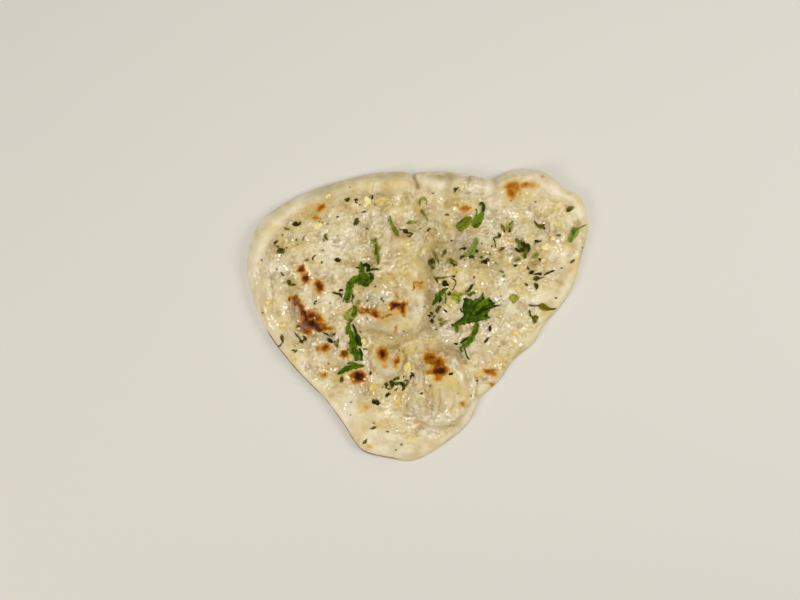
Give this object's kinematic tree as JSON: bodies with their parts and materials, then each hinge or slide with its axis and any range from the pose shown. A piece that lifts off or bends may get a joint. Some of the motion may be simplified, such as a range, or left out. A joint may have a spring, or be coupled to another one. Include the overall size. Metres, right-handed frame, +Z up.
{
  "type": "garlic naan",
  "caption": "Puffed flatbread of a rounded shield shape with browned blisters, melted garlic, herb flecks and loose coriander leaves.",
  "frame": {"origin": "middle of the bread's box in plan, on the surface that the bread lies on", "axes": "+Z up out of the browned face; +Y towards the broad far edge with the small split, away from the blunt tip; +X along the bread's greatest width, towards the puffed lobe"},
  "size_m": [0.2143, 0.1833, 0.0133],
  "materials": {
    "baked_dough": "soft tandoor-baked wheat dough, cream with orange-brown to near-black browned spots, brushed with butter so that it is satin with wet glints",
    "cooked_garlic": "minced garlic cooked soft and translucent yellow in butter",
    "green_coriander": "wilted coriander leaf, deep green, satin with oil",
    "pale_coriander": "thin light green coriander blades and stems, satin with oil",
    "crisp_coriander": "coriander baked dark, olive to near-black, dry"
  },
  "bodies": {
    "root": {"naan": "baked_dough", "garlic_slice": "cooked_garlic", "coriander_sprig": "green_coriander", "hook_leaf": "green_coriander", "twisted_shred": "pale_coriander", "folded_blade": "green_coriander", "cross_strip": "green_coriander", "pale_blade": "pale_coriander", "dark_blade": "green_coriander", "short_blade": "pale_coriander", "long_shred": "pale_coriander", "fine_shred": "pale_coriander", "wilted_leaf": "crisp_coriander", "edge_leaf": "pale_coriander", "olive_spindle": "pale_coriander", "leaf_corner": "pale_coriander", "green_frill": "green_coriander", "crisp_leaf": "crisp_coriander"}
  },
  "joints": []
}
